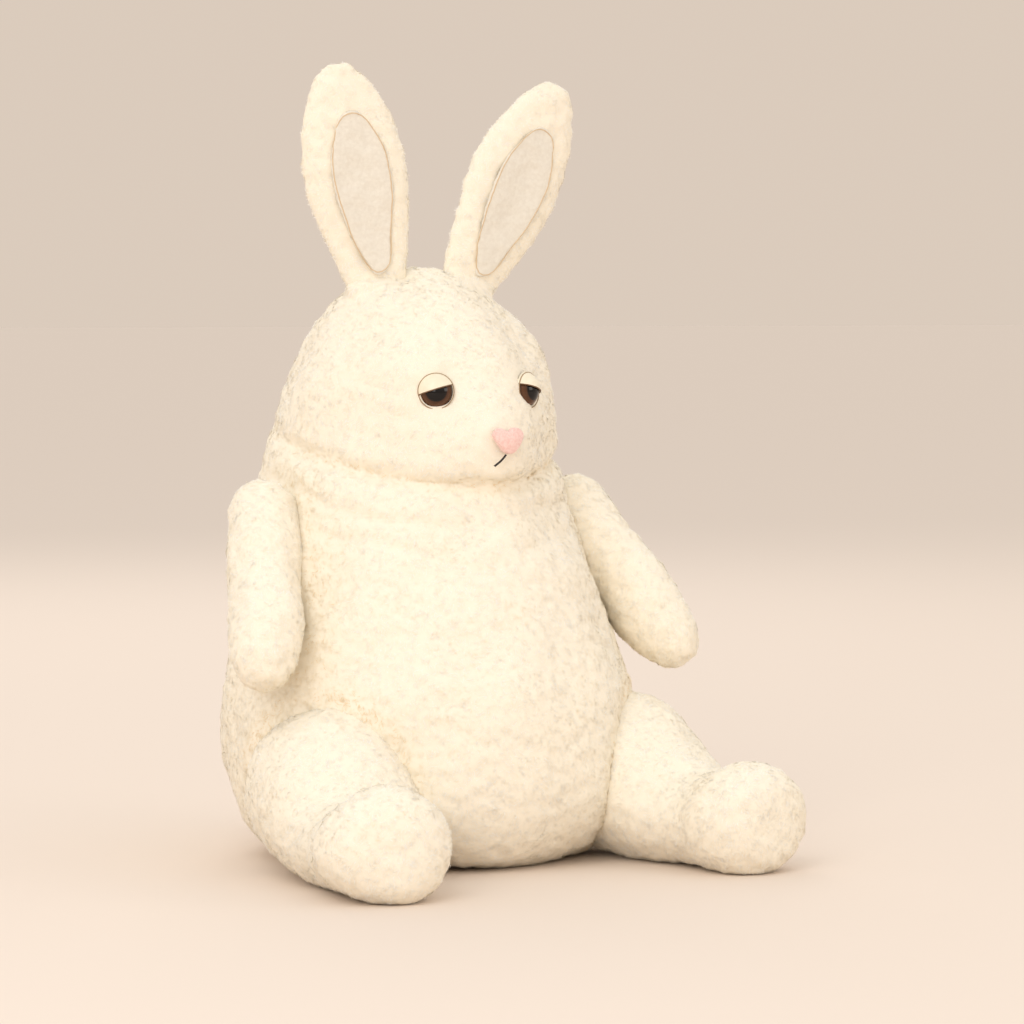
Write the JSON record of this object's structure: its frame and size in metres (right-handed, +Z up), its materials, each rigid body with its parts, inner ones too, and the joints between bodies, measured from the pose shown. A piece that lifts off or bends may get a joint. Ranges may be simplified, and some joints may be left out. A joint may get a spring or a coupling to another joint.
{
  "type": "stuffed rabbit toy",
  "caption": "Sitting plush rabbit, round body, upright lined ears, half-lidded safety eyes; head, ears, arms and legs move at their seams",
  "frame": {"origin": "middle of the flat seat, on the surface the toy sits on", "axes": "+Z up, the rabbit faces -Y, +X is its own left"},
  "size_m": [0.165, 0.186, 0.2495],
  "materials": {
    "plush": "short curly cream plush",
    "ear_lining": "smooth short velour, pale beige pink",
    "nose_felt": "flocked, pale pink",
    "mouth_thread": "black embroidery thread",
    "eye_plastic": "glossy dark brown",
    "lid_plastic": "cream, satin",
    "washer_plastic": "white",
    "polyester_fill": "white polyester fibre",
    "pouch_cloth": "plain woven cloth",
    "plastic_beans": "granulate"
  },
  "bodies": {
    "torso": {"seat_base_panel": "plush", "torso_front_panel": "plush", "torso_back_panel": "plush", "torso_stuffing": "polyester_fill", "bean_pouch": "pouch_cloth", "bean_fill": "plastic_beans", "tail_cover": "plush", "tail_stuffing": "polyester_fill"},
    "head": {"face_panel": "plush", "head_panel_left": "plush", "head_panel_right": "plush", "head_stuffing": "polyester_fill", "nose_patch": "nose_felt", "mouth_stitch": "mouth_thread", "eye_left": "eye_plastic", "eye_washer_left": "washer_plastic", "eyelid_left": "lid_plastic", "eye_right": "eye_plastic", "eye_washer_right": "washer_plastic", "eyelid_right": "lid_plastic"},
    "ear_left": {"ear_front_left": "plush", "ear_back_left": "plush", "ear_lining_left": "ear_lining", "ear_wadding_left": "polyester_fill"},
    "arm_left": {"arm_outer_left": "plush", "arm_inner_left": "plush", "arm_stuffing_left": "polyester_fill"},
    "leg_left": {"leg_outer_left": "plush", "leg_inner_left": "plush", "foot_sole_left": "plush", "leg_stuffing_left": "polyester_fill"},
    "ear_right": {"ear_front_right": "plush", "ear_back_right": "plush", "ear_lining_right": "ear_lining", "ear_wadding_right": "polyester_fill"},
    "arm_right": {"arm_outer_right": "plush", "arm_inner_right": "plush", "arm_stuffing_right": "polyester_fill"},
    "leg_right": {"leg_outer_right": "plush", "leg_inner_right": "plush", "foot_sole_right": "plush", "leg_stuffing_right": "polyester_fill"}
  },
  "joints": [
    {"name": "head_turn", "type": "hinge", "parent": "torso", "child": "head", "pos_m": [0, 0.007, 0.13032], "axis": [0, -0.2516, 0.9678], "range_deg": [-20, 20]},
    {"name": "ear_left_fold", "type": "hinge", "parent": "head", "child": "ear_left", "pos_m": [0.0158, 0.001, 0.1788], "axis": [-0.9039, -0.111, 0.413], "range_deg": [-30, 30]},
    {"name": "ear_right_fold", "type": "hinge", "parent": "head", "child": "ear_right", "pos_m": [-0.0158, 0.001, 0.1788], "axis": [-0.9663, 0.1186, -0.2284], "range_deg": [-30, 30]},
    {"name": "arm_left_swing", "type": "hinge", "parent": "torso", "child": "arm_left", "pos_m": [0.0558, 0.0005, 0.108], "axis": [1, 0, 0], "range_deg": [-60, 0]},
    {"name": "leg_left_lift", "type": "hinge", "parent": "torso", "child": "leg_left", "pos_m": [0.052, -0.0345, 0.026], "axis": [1, 0, 0], "range_deg": [-24, 0]},
    {"name": "arm_right_swing", "type": "hinge", "parent": "torso", "child": "arm_right", "pos_m": [-0.0558, 0.0005, 0.108], "axis": [1, 0, 0], "range_deg": [-60, 0]},
    {"name": "leg_right_lift", "type": "hinge", "parent": "torso", "child": "leg_right", "pos_m": [-0.052, -0.0345, 0.026], "axis": [1, 0, 0], "range_deg": [-24, 0]}
  ]
}
